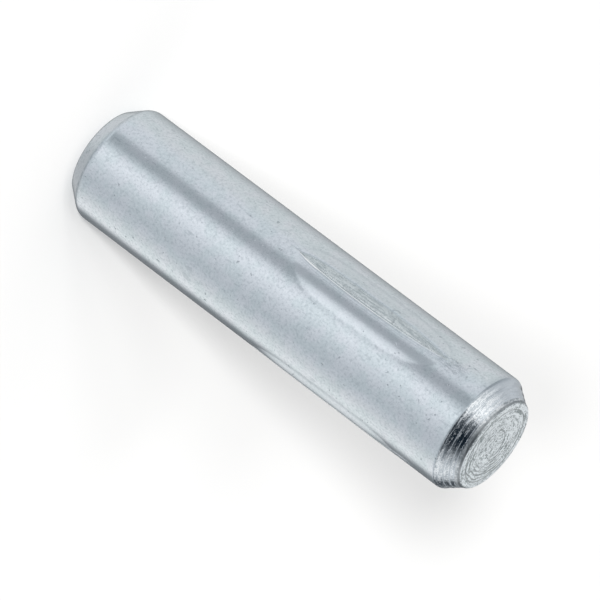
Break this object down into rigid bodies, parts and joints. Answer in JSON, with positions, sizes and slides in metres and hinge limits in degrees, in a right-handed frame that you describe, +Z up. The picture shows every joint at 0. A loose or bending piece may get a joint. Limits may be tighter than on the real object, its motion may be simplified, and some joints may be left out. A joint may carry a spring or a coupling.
{
  "type": "grooved pin",
  "caption": "Solid round locking pin with chamfered ends and lengthwise grooves pressed into half its length, whose raised lips wedge it in a plain drilled hole.",
  "frame": {"origin": "centre of the lower end face, the end away from the grooves, on which the pin stands", "axes": "+Z up along the pin's axis, towards the end that the grooves are nearer to; one groove faces -Y"},
  "size_m": [0.0096, 0.0097, 0.0381],
  "materials": {
    "zinc_plated_steel": "bright bluish zinc plating, finely speckled, with turning marks on the end face and the upper chamfer"
  },
  "bodies": {
    "root": {"grooved_pin": "zinc_plated_steel"}
  },
  "joints": []
}
